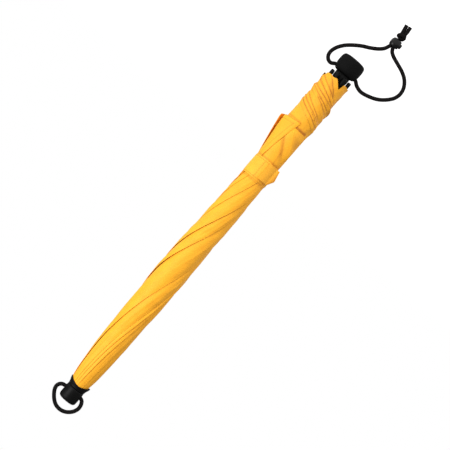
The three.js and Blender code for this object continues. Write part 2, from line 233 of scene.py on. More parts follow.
# The braid: two sets of strands that cross at 45 degrees, raised where each passes over.
braid, given, result = effect_group(
    "braided_sheath",
    [("Vector", "NodeSocketVector", None), ("Strand", "NodeSocketFloat", 0.0011)],
    [("Height", "NodeSocketFloat"), ("Shade", "NodeSocketFloat")],
)
parts = braid.nodes.new("ShaderNodeSeparateXYZ")
braid.links.new(given.outputs["Vector"], parts.inputs[0])
turn = maths(braid, "DIVIDE", math.pi, given.outputs["Strand"])
one_way = maths(braid, "ADD", parts.outputs["X"], parts.outputs["Y"])
other_way = maths(braid, "SUBTRACT", parts.outputs["X"], parts.outputs["Y"])
rise_a = maths(braid, "ABSOLUTE", maths(braid, "SINE", maths(braid, "MULTIPLY", one_way, turn)))
rise_b = maths(braid, "ABSOLUTE", maths(braid, "SINE", maths(braid, "MULTIPLY", other_way, turn)))
height = maths(braid, "MAXIMUM", rise_a, maths(braid, "MULTIPLY", rise_b, 0.9))
braid.links.new(height, result.inputs["Height"])
braid.links.new(maths(braid, "MULTIPLY_ADD", height, 0.65, 0.35), result.inputs["Shade"])

# Fine grain: the small mottle of moulded plastic and rubber, and where it has rubbed a little.
grain, given, result = effect_group(
    "moulded_grain",
    [("Vector", "NodeSocketVector", None), ("Scale", "NodeSocketFloat", 900.0)],
    [("Height", "NodeSocketFloat"), ("Mottle", "NodeSocketFloat")],
)
fine = grain.nodes.new("ShaderNodeTexNoise")
fine.inputs["Detail"].default_value = 3
grain.links.new(given.outputs["Vector"], fine.inputs["Vector"])
grain.links.new(given.outputs["Scale"], fine.inputs["Scale"])
broad = grain.nodes.new("ShaderNodeTexNoise")
broad.inputs["Scale"].default_value = 60
broad.inputs["Detail"].default_value = 4
grain.links.new(given.outputs["Vector"], broad.inputs["Vector"])
grain.links.new(fine.outputs["Fac"], result.inputs["Height"])
grain.links.new(broad.outputs["Fac"], result.inputs["Mottle"])


def principled(name, color, roughness, **sockets):
    material = bpy.data.materials.new(name)
    material.use_nodes = True
    shader = material.node_tree.nodes["Principled BSDF"]
    shader.inputs["Base Color"].default_value = (*color, 1)
    shader.inputs["Roughness"].default_value = roughness
    for label, value in sockets.items():
        shader.inputs[label.replace("_", " ")].default_value = value
    return material, material.node_tree, shader


def two_tone(tree, amount, low, high, target):
    blend = tree.nodes.new("ShaderNodeMix")
    blend.data_type = "RGBA"
    blend.inputs["A"].default_value = (*low, 1)
    blend.inputs["B"].default_value = (*high, 1)
    tree.links.new(amount, blend.inputs["Factor"])
    tree.links.new(blend.outputs["Result"], target)


def bump(tree, height, shader, depth, strength=1.0):
    relief = tree.nodes.new("ShaderNodeBump")
    relief.inputs["Strength"].default_value = strength
    relief.inputs["Distance"].default_value = depth
    tree.links.new(height, relief.inputs["Height"])
    tree.links.new(relief.outputs["Normal"], shader.inputs["Normal"])


def moulded(name, low, high, roughness, scale, depth, **sockets):
    """A moulded finish: grain in its relief, and a slight mottle in its colour and gloss."""
    material, tree, shader = principled(name, high, roughness, **sockets)
    place = tree.nodes.new("ShaderNodeTexCoord")
    body = tree.nodes.new("ShaderNodeGroup")
    body.node_tree = grain
    body.inputs["Scale"].default_value = scale
    tree.links.new(place.outputs["Object"], body.inputs["Vector"])
    two_tone(tree, body.outputs["Mottle"], low, high, shader.inputs["Base Color"])
    gloss = maths(tree, "MULTIPLY_ADD", body.outputs["Mottle"], 0.16, roughness - 0.08)
    tree.links.new(gloss, shader.inputs["Roughness"])
    bump(tree, body.outputs["Height"], shader, depth)
    return material


cord_finish, tree, shader = principled("braided_cord", (0.008, 0.008, 0.008), 0.8, Specular_IOR_Level=0.08)
lie = tree.nodes.new("ShaderNodeUVMap")
lie.uv_map = "along"
sheath = tree.nodes.new("ShaderNodeGroup")
sheath.node_tree = braid
sheath.inputs["Strand"].default_value = 0.0016
tree.links.new(lie.outputs["UV"], sheath.inputs["Vector"])
# The raised strands are lighter and the low places between them darker: painted highlight and shade.
two_tone(tree, sheath.outputs["Shade"], (0.001, 0.001, 0.001), (0.007, 0.006, 0.006), shader.inputs["Base Color"])
bump(tree, sheath.outputs["Height"], shader, 0.0004)

CORD = 0.003  # radius
right_route = smooth_route([
    (0.2, 7.6), (8, 7.6), (15, 7.6), (20, 8.9), (25.6, 12.2), (31.4, 11.4), (36.2, 6), (37.2, -1),
    (34.4, -10.4), (27.4, -20.6), (17.4, -29.6), (6.4, -37.2), (-4.6, -43), (-14.4, -49.4),
    (-21.2, -56), (-24.7, -63.4),
], 120)
left_route = smooth_route([
    (-0.2, 7.6), (-8, 7.6), (-15, 7.6), (-20, 9.2), (-26, 13.6), (-36, 16.6), (-50, 14.2), (-64, 8.4),
    (-75, -0.6), (-81.8, -10), (-84, -20), (-81.6, -30.4), (-74.4, -40), (-64, -46.6), (-50, -51.8),
    (-40.4, -55.4), (-34, -59.4), (-31.2, -63.6),
], 160)
# Both strands run on into the lock, the right one a little in front.
right_route = np.vstack([right_route, [(-0.0254, -0.0006, -0.0649), (-0.0261, -0.0012, -0.0664)]])
left_route = np.vstack([left_route, [(-0.0306, 0.0006, -0.0651), (-0.03, 0.0012, -0.0666)]])
strand_right = round_cord("cord_strand_right", right_route, CORD)
strand_left = round_cord("cord_strand_left", left_route, CORD)
for strand, node in ((strand_right, "wrist_cord_right"), (strand_left, "wrist_cord_left")):
    strand.data.materials.append(cord_finish)
    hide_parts(node)
    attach(strand, "handle")


# Cord lock and knot. The lock is a glossy black moulding, a ball with a side barrel that holds the
# sprung button. Under it both ends of the cord are tied in one overhand knot and cut off square.
def turned_mesh(name, outline, segments, about=(0, 0, 0), axis="Z"):
    """A smooth turned piece: outline is (radius, height) in millimetres, from end to end."""
    work = bmesh.new()
    rings = []
    for r, h in outline:
        if r < 1e-6:
            rings.append([work.verts.new((0, 0, h / 1000))])
        else:
            rings.append([
                work.verts.new((r / 1000 * math.cos(a), r / 1000 * math.sin(a), h / 1000))
                for a in np.linspace(0, 2 * math.pi, segments, endpoint=False)
            ])
    for low, high in zip(rings, rings[1:]):
        for k in range(segments):
            n = (k + 1) % segments
            corners = [low[k % len(low)], low[n % len(low)], high[n % len(high)], high[k % len(high)]]
            corners = list(dict.fromkeys(corners))
            if len(corners) > 2:
                work.faces.new(corners)
    bmesh.ops.recalc_face_normals(work, faces=work.faces)
    mesh = bpy.data.meshes.new(name)
    work.to_mesh(mesh)
    work.free()
    if axis == "X":
        mesh.transform(Matrix.Rotation(math.radians(90), 4, "Y"))
    mesh.transform(Matrix.Translation(Vector(about)))
    mesh.polygons.foreach_set("use_smooth", [True] * len(mesh.polygons))
    return link(name, mesh)


def settle(piece):
    """Applies every modifier and leaves a plain mesh, shaded smooth up to 50 degrees."""
    bpy.context.view_layer.update()
    made = bpy.data.meshes.new_from_object(piece.evaluated_get(bpy.context.evaluated_depsgraph_get()))
    piece.modifiers.clear()
    piece.data = made
    made.polygons.foreach_set("use_smooth", [True] * len(made.polygons))
    made.set_sharp_from_angle(angle=math.radians(50))
    return piece


satin_black = moulded(
    "satin_black_moulding", (0.001, 0.001, 0.001), (0.0035, 0.0035, 0.0035), 0.5, 1500, 0.00004,
    Specular_IOR_Level=0.1,
)
gloss_black = moulded(
    "gloss_black_moulding", (0.002, 0.002, 0.002), (0.006, 0.006, 0.006), 0.3, 2200, 0.00002,
    Specular_IOR_Level=0.22,
)

LOCK_PLACE = (-0.0282, 0, -0.073)
lock = turned_mesh(
    "cord_lock",
    [
        (0, -7.2), (3, -7.2), (4.9, -6.8), (6.4, -5.5), (7.4, -3.2), (7.8, 0), (7.6, 3), (7, 5.6),
        (6, 7), (4.8, 7.3), (0, 7.3),
    ],
    44, LOCK_PLACE,
)
barrel = turned_mesh(
    "cord_lock_barrel",
    [
        (4.3, -8.2), (5.4, -8.4), (6.4, -7.8), (6.9, -6.4), (7.1, -4), (7.1, 2), (0, 2), (0, -3),
        (4.3, -3.2), (4.3, -8.2),
    ],
    32, LOCK_PLACE, "X",
)
button = turned_mesh(
    "cord_lock_press",
    [(0, -11.6), (2.6, -11.5), (3.5, -10.9), (3.9, -9.8), (3.9, -6.9), (0, -6.9)],
    32, LOCK_PLACE, "X",
)
for piece, node in ((lock, "cord_lock_body"), (button, "cord_lock_button")):
    piece.data.materials.append(gloss_black)
    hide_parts(node)
barrel.data.materials.append(gloss_black)
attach(lock, "handle")
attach(barrel, "handle")
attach(button, "cord_lock_button")

knot_line = smooth_route([
    (-27.6, 0.5, -82.4), (-33, 2.4, -83.8), (-34.2, 0, -87), (-31, -3.4, -88.4), (-26.2, -2.6, -87),
    (-25.2, 1.4, -84.8), (-29.2, 3.6, -85.4), (-33.4, 2.2, -88.8), (-30.6, -0.4, -91.2),
], 70)
knot = round_cord("cord_knot_turns", knot_line, CORD)
front_line = smooth_route([(-27.6, 0.6, -88.5), (-26, 0.4, -96.5), (-24.6, 0, -104.6)], 20)
back_line = smooth_route([(-31.6, -0.4, -88.5), (-31.8, -0.2, -96.5), (-30.9, 0, -105.4)], 20)
tail_front = round_cord("cord_tail_front", front_line, CORD)
tail_back = round_cord("cord_tail_back", back_line, CORD)
for piece in (knot, tail_front, tail_back):
    piece.data.materials.append(cord_finish)
    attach(piece, "handle")
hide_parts("cord_knot")


# Knob: a short turned grip of matte black rubber, pierced from side to side for the cord.
# The seat above it is a plain black ring that the rib tips lie round.
knob = turned_mesh(
    "knob_grip",
    [
        (0, -14), (13, -14), (15.6, -13.9), (17.6, -13.3), (19, -12), (19.9, -10), (20.4, -7.4),
        (20.6, -4), (20.6, 0), (20.5, 4), (20.1, 7.4), (19.3, 9.8), (17.9, 11.9), (16.4, 13), (14.8, 13.5),
        (5.8, 13.5), (5.8, -3.3), (0, -3.3),
    ],
    72,
)
drill = turned_mesh("knob_drill", [(0, -30), (4.5, -30), (4.5, 30), (0, 30)], 32, (0, 0, 0.0076), "X")
bore = knob.modifiers.new("cord_hole", "BOOLEAN")
bore.object = drill
bore.solver = "EXACT"
settle(knob)
bpy.data.objects.remove(drill)
knob_rubber = moulded(
    "knob_rubber", (0.0015, 0.0015, 0.0015), (0.005, 0.005, 0.005), 0.78, 1100, 0.00012,
    Specular_IOR_Level=0.08,
)
knob.data.materials.append(knob_rubber)
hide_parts("handle_knob")
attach(knob, "handle")

seat = turned_mesh(
    "tip_seat_ring",
    [
        (5.8, 13.8), (11.8, 13.8), (12.6, 14.6), (12.6, 21.6), (12.2, 24), (11.2, 28), (9.4, 33),
        (5.8, 33), (5.8, 13.8),
    ],
    56,
)
seat.data.materials.append(satin_black)
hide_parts("rib_tip_seat")
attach(seat, "handle")


# Frame: a glass-fibre shaft with two stops, a slotted crown notch, eight glass-fibre ribs with
# moulded brackets, eight pressed stretchers, and the runner with its grey release button.
def repaint(node, material):
    mesh = nodes[node].data
    mesh.materials.clear()
    mesh.materials.append(material)


fibre = moulded("glass_fibre", (0.012, 0.012, 0.014), (0.034, 0.034, 0.038), 0.3, 500, 0.00003, Coat_Weight=0.25)
pressed_metal = moulded(
    "dark_pressed_metal", (0.10, 0.10, 0.11), (0.17, 0.17, 0.18), 0.34, 800, 0.00002, Metallic=0.9,
)
grey_moulding = moulded("grey_moulding", (0.20, 0.205, 0.21), (0.28, 0.285, 0.29), 0.42, 1500, 0.00003)
repaint("shaft_tube", fibre)
for node in ("lower_stop", "upper_stop", "crown_notch", "runner"):
    repaint(node, satin_black)
repaint("release_button", grey_moulding)
RIB_AZIMUTHS = [math.radians(-67.5 + 45 * i) for i in range(8)]
SPLAY = math.radians(0.5)
PIVOT_RADIUS = 9
CROWN_PIVOT_Z = 618
ROD_OFFSET = 3  # each rod lies this far outside its own pivot
for i, azimuth in enumerate(RIB_AZIMUTHS):
    n = i + 1
    repaint(f"rib_rod_{n}", fibre)
    repaint(f"rib_bracket_{n}", satin_black)
    repaint(f"stretcher_{n}", pressed_metal)
    tip = turned_mesh(
        f"rib_tip_cap_{n}",
        [
            (0, -600), (1.6, -600), (2.5, -599.6), (2.9, -598.6), (3, -597), (3, -590.4), (2.7, -589.2),
            (2.2, -587.6), (2.15, -576), (1.8, -576), (1.8, -588.3), (0, -588.3),
        ],
        24, (ROD_OFFSET / 1000, 0, 0),
    )
    pivot = Matrix.Translation((PIVOT_RADIUS / 1000, 0, CROWN_PIVOT_Z / 1000))
    tip.data.transform(Matrix.Rotation(azimuth, 4, "Z") @ pivot @ Matrix.Rotation(-SPLAY, 4, "Y"))
    tip.data.materials.append(satin_black)
    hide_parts(f"rib_tip_{n}")
    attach(tip, f"rib_{n}")


# Canopy cloth: plain-woven yellow polyester. The furled canopy is the outer face of eight gores,
# each folded flat and wound round the frame, so its fold lies over the next gore as a spiral edge.
def along(z, knots):
    """A smooth curve through (place, value) knots."""
    places, values = np.array(knots, float).T
    slopes = np.gradient(values, places)
    i = np.clip(np.searchsorted(places, z) - 1, 0, len(places) - 2)
    h = places[i + 1] - places[i]
    t = np.clip((z - places[i]) / h, 0, 1)
    return (
        (2 * t**3 - 3 * t**2 + 1) * values[i] + (t**3 - 2 * t**2 + t) * h * slopes[i]
        + (3 * t**2 - 2 * t**3) * values[i + 1] + (t**3 - t**2) * h * slopes[i + 1]
    )


def ease(x):
    x = np.clip(x, 0, 1)
    return x * x * (3 - 2 * x)


weave, given, result = effect_group(
    "plain_weave",
    [("Vector", "NodeSocketVector", None), ("Thread", "NodeSocketFloat", 0.0006)],
    [("Height", "NodeSocketFloat"), ("Tone", "NodeSocketFloat")],
)
parts = weave.nodes.new("ShaderNodeSeparateXYZ")
weave.links.new(given.outputs["Vector"], parts.inputs[0])
turn = maths(weave, "DIVIDE", math.pi, given.outputs["Thread"])
warp = maths(weave, "SINE", maths(weave, "MULTIPLY", parts.outputs["X"], turn))
weft = maths(weave, "SINE", maths(weave, "MULTIPLY", parts.outputs["Y"], turn))
threads = maths(weave, "MULTIPLY", warp, weft)
weave.links.new(maths(weave, "ABSOLUTE", threads), result.inputs["Height"])
cloud = weave.nodes.new("ShaderNodeTexNoise")
cloud.inputs["Scale"].default_value = 55
cloud.inputs["Detail"].default_value = 5
weave.links.new(given.outputs["Vector"], cloud.inputs["Vector"])
weave.links.new(cloud.outputs["Fac"], result.inputs["Tone"])


def cloth(name, light, painted_shade, thread=0.0006):
    """Woven cloth. Its painted shade attribute, from 0 to 1, is how far a place lies in a fold or in shadow, and
    darkens the cloth that far towards its shade colour.
    """
    material, tree, shader = principled(
        name, light, 0.62, Sheen_Weight=0.12, Sheen_Roughness=0.45, Specular_IOR_Level=0.3,
    )
    shader.inputs["Sheen Tint"].default_value = (1, 0.86, 0.45, 1)
    lie = tree.nodes.new("ShaderNodeUVMap")
    lie.uv_map = "cloth"
    body = tree.nodes.new("ShaderNodeGroup")
    body.node_tree = weave
    body.inputs["Thread"].default_value = thread
    tree.links.new(lie.outputs["UV"], body.inputs["Vector"])
    fold = tree.nodes.new("ShaderNodeAttribute")
    fold.attribute_name = "painted_shade"
    tone = maths(tree, "MULTIPLY_ADD", body.outputs["Tone"], 0.5, -0.16)
    amount = maths(tree, "ADD", tone, fold.outputs["Fac"])
    limit = tree.nodes.new("ShaderNodeClamp")
    tree.links.new(amount, limit.inputs["Value"])
    two_tone(tree, limit.outputs[0], light, painted_shade, shader.inputs["Base Color"])
    bump(tree, body.outputs["Height"], shader, 0.00003, 0.8)
    return material


YELLOW = (0.935, 0.415, 0.0155)
# The colour the cloth is darkened towards where shade is painted.
AMBER_SHADE = (0.50, 0.165, 0.008)
canopy_cloth = cloth("canopy_cloth", YELLOW, AMBER_SHADE)
strap_cloth = cloth("strap_cloth", (0.96, 0.44, 0.024), AMBER_SHADE, 0.0009)


def cloth_grid(name, rows, painted_shade, around=False, thick=0.0):
    """A sheet from rows of points in metres, with its cloth UV map in metres and its painted shade attribute."""
    rows = np.asarray(rows, float)
    high, wide = rows.shape[:2]
    steps = wide if around else wide - 1
    faces, corners = [], []
    for j in range(high - 1):
        for k in range(steps):
            n = (k + 1) % wide
            faces.append((j * wide + k, j * wide + n, (j + 1) * wide + n, (j + 1) * wide + k))
            corners += [(j, k), (j, k + 1), (j + 1, k + 1), (j + 1, k)]
    closed_rows = np.concatenate([rows, rows[:, :1]], axis=1)
    across = np.concatenate([
        np.zeros((high, 1)), np.cumsum(np.linalg.norm(np.diff(closed_rows, axis=1), axis=2), axis=1),
    ], axis=1)
    across -= across[:, wide // 2][:, None]
    down = np.concatenate([[0], np.cumsum(np.linalg.norm(np.diff(rows, axis=0), axis=2).mean(axis=1))])
    uv = [(across[j, k], down[j]) for j, k in corners]
    mesh = bpy.data.meshes.new(name)
    mesh.from_pydata([tuple(p) for p in rows.reshape(-1, 3)], [], faces)
    layer = mesh.uv_layers.new(name="cloth")
    layer.data.foreach_set("uv", np.array(uv, np.float32).ravel())
    mesh.attributes.new("painted_shade", "FLOAT", "POINT").data.foreach_set("value", np.asarray(painted_shade, np.float32).ravel())
    mesh.polygons.foreach_set("use_smooth", [True] * len(mesh.polygons))
    mesh.update()
    piece = link(name, mesh)
    if thick:
        wall = piece.modifiers.new("cloth", "SOLIDIFY")
        wall.thickness = thick
        wall.offset = -1
        settle(piece)
    return piece


def ruffle(x, y, seed, size):
    return noise.noise(Vector((x * size, y * size, seed)))


# Furled gores: each is one cloth from rib to rib, folded flat down its middle and wound round the
# bundle, so its fold crosses the front as a spiral and lies over the gore before it. The winding
# is nearly straight under the collar and one turn in 350 mm below it.
FOLD_TURNS = [285, 270, 257, 204, 112, 68, 10, -41]


def winding(z):
    """Degrees the bundle has turned by height z, from 0 just above the strap."""
    return along(z, [
        (27, -208), (150, -82), (190, -41), (230, 0), (380, 155), (440, 209), (500, 249), (540, 270),
        (600, 288), (632, 293),
    ])


def furl_radius(z):
    """The bundle's radius, without its folds."""
    return along(z, [
        (27, 20.2), (60, 20), (100, 20.4), (150, 20), (190, 19), (205, 19), (222, 19.6), (250, 20.5),
        (300, 21.2), (350, 22.2), (400, 23), (440, 22.6), (500, 20.9), (550, 19.9), (580, 18.6),
        (605, 16.9), (618, 15.5), (626, 14.5), (632, 13.7),
    ])


def furl_lean(z):
    """How far the bundle is fuller on its +X side."""
    return along(z, [
        (27, 0.6), (100, 0.9), (190, 0.6), (230, 1.2), (300, 2), (400, 2.9), (450, 2.2), (500, 2),
        (560, 1.8), (632, 0.6),
    ])


def furl_step(z):
    """How far each fold stands above the cloth it lies on."""
    return along(z, [
        (27, 0.2), (170, 0.3), (190, 0.9), (230, 1.3), (330, 1.5), (430, 1.5), (520, 1.4), (580, 1.1),
        (612, 0.8), (624, 0.35), (632, 0.1),
    ])


def bundle_radius(z):
    """Just outside the ribs and their brackets."""
    return 14.5 + np.maximum(CROWN_PIVOT_Z - z, 0) * 0.00873


levels = np.concatenate([np.linspace(629.6, 600, 20), np.linspace(597.8, 192, 184), np.linspace(184, 27, 16)])
SHOWN_PLACES = np.array([
    0.012, 0.04, 0.09, 0.16, 0.24, 0.33, 0.41, 0.44, 0.47, 0.5, 0.53, 0.6, 0.7, 0.8, 0.88, 0.945, 0.985,
])
furled = []
for k in range(8):
    columns, painted_shades = [], []

    def fold_at(z, which):
        return -90 - FOLD_TURNS[which % 8] + 360 * (which // 8) + winding(z)

    def lie(turn_at, off_at, shade, share):
        """Adds a column. Its hem is at height 38 at the ribs (share 0) and 93 at the fold (share 1)."""
        z = np.where(levels >= 192, levels, 192 - (192 - levels) * (154 - 55 * share**1.3) / 165)
        base, step = furl_radius(z), furl_step(z)
        start, end = fold_at(z, k), fold_at(z, k + 1)
        wide = np.radians(end - start) * base
        lip = step * (0.7 + 0.5 * np.sin(k * 2.1 + z * 0.013))
        a = np.radians(turn_at(start, end, base))
        r = base + off_at(z, lip, wide, base) + furl_lean(z) * np.cos(a)
        r = np.where(z < 600, np.maximum(r, bundle_radius(z)), r)
        columns.append(np.stack([r * np.cos(a), r * np.sin(a), z], axis=1) / 1000)
        # The column's shade is painted shade: it darkens the cloth towards its shade colour, less towards the
        # collar.
        dark = shade(z, wide) if callable(shade) else np.full(len(z), shade)
        painted_shades.append(dark * (1 - 0.6 * ease((z - 510) / 80)))

    def shown(s, fine):
        """The part that shows: it falls from its own fold to under the next, and puffs out between."""
        def off_at(z, lip, wide, base):
            bulge = math.sin(math.pi * s)
            puff = 0.055 * wide * bulge * np.clip((z - 190) / 50, 0, 1) * np.clip((624 - z) / 60, 0, 1)
            fall = lip * (1 - float(ease(s * 1.15)) ** 0.8)
            if not fine:
                return fall + puff - 1.5
            calm = ease((z - 500) / 60)
            crinkle = np.array([
                0.55 * ruffle(s * w * 0.5, h * 0.16 + k * 9.3, 1.7 + k, 0.32) for w, h in zip(wide, z)
            ])
            crinkle = crinkle * np.minimum(1, wide * min(s, 1 - s) / 2.5) * (1 - 0.6 * calm)
            furrow = 0.22 * np.sin(s * wide * 0.8 + z * 0.045 + k) * bulge * (1 - 0.5 * calm)
            return fall + puff + crinkle + furrow - 0.35 - 0.9 * tuck(s, z, wide)
        return off_at

    def tuck(s, z, wide):
        """A second crease, halfway across, where the cloth is gathered in under the collar."""
        crease = np.exp(-((s - 0.47 - 0.05 * math.sin(k * 1.7)) * wide / 0.8) ** 2)
        return crease * ease((z - 515) / 45) * ease((wide - 9) / 8)

    def buried(h, below):
        """The part that doesn't show: it sinks evenly from under the next fold to the bundle."""
        def off_at(z, lip, wide, base):
            top = -0.9 - below
            return top + (np.minimum(bundle_radius(z) - base + 0.15, top) - top) * h
        return off_at

    # The buried parts, the hidden layer under each fold and a thin line along each fold's edge are painted
    # darker: painted shade where the folds overlap.
    rib_turn = 67.5 + 45 * k
    for h in np.linspace(1, 0, 30, endpoint=False):
        lie(
            lambda a, b, r: b + 2.8 + (np.maximum(rib_turn - 45, b + 4) - b - 2.8) * h,
            buried(h, 0.16), 0.7, (1 - h) * 0.92,
        )
    for s in (0.97, 0.8, 0.6, 0.4, 0.2, 0.08):
        lie(lambda a, b, r: a + (b - a) * s, shown(s, False), 0.9, 1 - 0.08 * s)
    for mm, off, shade in ((0.9, -1.0, 0.6), (-0.5, -0.45, 0.25), (-0.25, 0.0, 0.0)):
        lie(lambda a, b, r: a + mm * 180 / math.pi / r, lambda z, lip, w, r: lip + off, shade, 1)
    for s in SHOWN_PLACES:
        # Painted shade on the part that shows: darker towards the next fold, along the tuck under the collar and
        # beside the strap's upper edge.
        def fold_shade(z, wide):
            by_next, by_strap = max(0.0, (s - 0.80) / 0.2) ** 2, np.exp(-((z - 222.5) / 1.6) ** 2)
            return 0.28 * by_next + 0.35 * tuck(s, z, wide) + 0.4 * by_strap

        lie(lambda a, b, r: a + (b - a) * s, shown(s, True), fold_shade, 1 - 0.08 * s)
    lie(lambda a, b, r: b + 2.6, lambda z, lip, w, r: -0.8, 0.6, 0.92)
    for h in np.linspace(0, 1, 31)[1:]:
        lie(
            lambda a, b, r: b + 2.6 + (np.maximum(rib_turn, b + 6) - b - 2.6) * h,
            buried(h, 0), 0.8, (1 - h) * 0.92,
        )
    gore = cloth_grid(f"canopy_furl_{(k + 2) % 8 + 1}", np.stack(columns, axis=1), np.stack(painted_shades, axis=1))
    gore.data.materials.append(canopy_cloth)
    furled.append(gore)


# Lower canopy: under the strap and down to the rib tips. The loose hems cross it as steep bands,
# the other way from the folds, and leave a notch at the front where the dark seat shows.

# Each band is its height at the front, its fall per degree of turn, and two turns: it runs from 90
# degrees before the first to 90 past the last.
HEM_BANDS = [
    (94.3, 0.182, -190, 20), (83.3, 0.21, -175, 10), (70, 0.19, -150, -60), (60, 0.125, -160, 25),
    (54.5, 0.172, -170, -5), (40.6, 0.36, -150, -50), (88, 0.18, 25, 160), (66, 0.16, 30, 175),
    (47, 0.2, 20, 150),
]


def front_turn(angle):
    """Degrees round from the front, from -180 to 180."""
    return (np.asarray(angle) + 90 + 180) % 360 - 180


def round_points(r, turn, z):
    """Points at radius r and height z in millimetres, turn degrees round from +X, in metres."""
    a = np.radians(turn)
    return np.stack([r * np.cos(a), r * np.sin(a), z], axis=1) / 1000


def strap_shadow(z):
    """1 just under the strap's lower edge, where the cloth is pinched in, and 0 away from it."""
    return np.exp(-((z - 185.5) / 1.8) ** 2)


def hem_height(angle):
    """The lowest edge: notched near the front, raised at the +X side and behind, with small scallops."""
    f = front_turn(angle)
    notch = np.where(f > -24.7, (5.5 - f) / 30.2, (f + 31.2) / 6.5)
    notch = np.clip(notch, 0, 1) * 11.5
    side = np.clip(1 - np.abs(f - 82) / 22, 0, 1) * 15
    back = np.clip(np.cos(np.radians((f - 22.5) * 8)), 0, 1) * 1.2
    rear = np.where(np.abs(f) > 120, 5 * np.clip(np.cos(np.radians((f - 160) * 4)), 0, 1), 0)
    return 27 + np.maximum.reduce([notch, side, back, rear])


def lower_lift(angle, z):
    """How far the cloth stands off its plain round, and its painted shade, from 0 to 0.9."""
    f = front_turn(angle)
    lift, painted_shade = np.zeros_like(f + z), np.zeros_like(f + z)
    for place, slope, first, last in HEM_BANDS:
        shown = ease((f - first + 90) / 14) * ease((last + 90 - f) / 14)
        s = z - (place - slope * f)
        height = 1.15 * ease(s / 0.9 + 0.5) * (1 - ease((s - 2) / 13))
        groove = 0.22 * np.exp(-((s - 6.2) / 0.7) ** 2)
        lift = lift + shown * (height - groove)
        # Painted shade under each band's edge and in the groove along its stitching.
        under_edge, by_stitches = np.exp(-((s + 0.7) / 0.8) ** 2), np.exp(-((s - 6.2) / 0.6) ** 2)
        painted_shade = painted_shade + shown * (0.75 * under_edge + 0.22 * by_stitches)
    # Painted shadows beside and under the flat tab, beside the outer hem and under the strap, and painted shade
    # in an olive band above the front notch.
    beside_tab = (f > -54) * (f < 9) * np.exp(-((z - 121.5) / 2.2) ** 2)
    under_tab = (z > 124) * (z < 186) * np.exp(-((f + 53 - (z - 124) * 0.16) / 3.0) ** 2)
    beside_hem = (f > 0) * (f < 86) * np.exp(-((z - 112.5 + (f - 2) * 0.02) / 1.5) ** 2)
    painted_shade = painted_shade + 0.75 * beside_tab + 0.6 * under_tab + 0.4 * beside_hem + 0.45 * strap_shadow(z)
    olive_shade = ease((f + 26) / 8) * ease((20 - f) / 8) * np.exp(-((z - 43 + 0.36 * f) / 6.0) ** 2)
    return lift, np.clip(1.25 * painted_shade + 0.04 + 0.4 * olive_shade, 0, 0.9)


def lower_round(angle, z):
    """The lower canopy's radius, without its folds: a little fuller on the +X side."""
    base = along(z, [
        (27, 21.6), (45, 21.2), (60, 20.9), (85, 21.4), (102, 22.2), (120, 22), (150, 21), (175, 20),
        (190, 19.3), (208, 19.0),
    ])
    lean = along(z, [(27, 1), (60, 1.7), (90, 1.5), (120, 2.2), (150, 1.8), (190, 0.6), (208, 0.6)])
    return base + lean * np.cos(np.radians(angle))


turns = np.arange(-180, 180, 1.5)
rows, painted_shades = [], []
low_edge = hem_height(turns)
for share in np.linspace(0, 1, 180) ** 1.05:
    z = low_edge + (207 - low_edge) * share
    lift, painted_shade = lower_lift(turns, z)
    crinkle = np.array([0.6 * ruffle(a * 0.37, h * 0.6, 4.2, 0.16) for a, h in zip(turns, z)])
    r = lower_round(turns, z) + lift + crinkle
    r = r + 0.5 * np.exp(-((z - low_edge) / 2.5) ** 2)
    rows.append(round_points(r, turns, z))
    painted_shades.append(painted_shade)
lower_furl = cloth_grid("canopy_furl_lower", rows, painted_shades, around=True)
lower_furl.data.materials.append(canopy_cloth)


# Loose hems: three hem corners that stand out between the strap and the bands. The upper one bulges
# off the bundle with its edge turned and stitched, and a rear one shows beyond it; the flat one
# beside it is creased in facets.
def on_flap(near, far, lift, u, v):
    """A row of a flap. Its long edges near and far are (turn from the front, height), from the strap down."""
    a = np.array([along(v, [(i / (len(near) - 1), p[j]) for i, p in enumerate(near)]) for j in (0, 1)])
    b = np.array([along(v, [(i / (len(far) - 1), p[j]) for i, p in enumerate(far)]) for j in (0, 1)])
    turn = a[0] + (b[0] - a[0]) * u
    z = a[1] + (b[1] - a[1]) * u
    under, _ = lower_lift(turn - 90, z)
    off, painted_shade = lift(u, v, turn, z)
    r = lower_round(turn - 90, z) + np.maximum(under, 0) * 0.5 + off
    return round_points(r, turn - 90, z), painted_shade + 0 * u


def flap(name, near, far, lift, wide=46, high=70, thick=0.0005):
    made = [on_flap(near, far, lift, np.linspace(0, 1, wide), v) for v in np.linspace(0, 1, high)]
    piece = cloth_grid(name, [m[0] for m in made], [m[1] for m in made], thick=thick)
    piece.data.materials.append(canopy_cloth)
    return piece


def bulging(u, v, turn, z):
    """Rounded over the side, with a stitched turning along its near edge and its hem, and painted shade in the
    stitch grooves and under the strap.
    """
    off = 1.5 + 2.3 * np.exp(-((turn - 74) / 26) ** 2) * np.exp(-((z - 122) / 32) ** 2)
    off = off * ease((196 - z) / 22) + 0.25 * np.sin(turn * 0.11 + z * 0.05)
    edge, tail = u * (20 + 14 * v), (1 - v) * 77
    stitch = np.exp(-((edge - 6.0) / 0.7) ** 2) * (tail > 5) + np.exp(-((tail - 6.5) / 0.7) ** 2) * (edge > 5)
    off = off - 0.45 * stitch - 0.5 * np.exp(-edge)
    return off, np.clip(0.34 * stitch + 0.45 * strap_shadow(z), 0, 0.9)


OUTER_NEAR = [(50, 192), (36, 172), (25, 152), (13, 132), (2.5, 113.6)]
OUTER_FAR = [(104, 192), (104, 172), (102, 152), (98, 134), (92, 117)]
loose_hem = flap("hem_flap_outer", OUTER_NEAR, OUTER_FAR, bulging)


def standing(u, v, turn, z):
    """Stands off the side, furthest at its far edge, and sinks back under the strap, with a little painted shade
    towards its near edge.
    """
    out_by = np.clip((194 - z) / 70, 0, 1)
    return 0.6 + 9 * u * out_by, 0.1 * (1 - u) ** 2


rear_hem = flap(
    "hem_flap_rear",
    [(120, 192), (119, 172), (117, 154), (113, 136), (106, 113)],
    [(88, 192), (85, 172), (82, 154), (80, 138), (79, 119)],
    standing, wide=24,
)


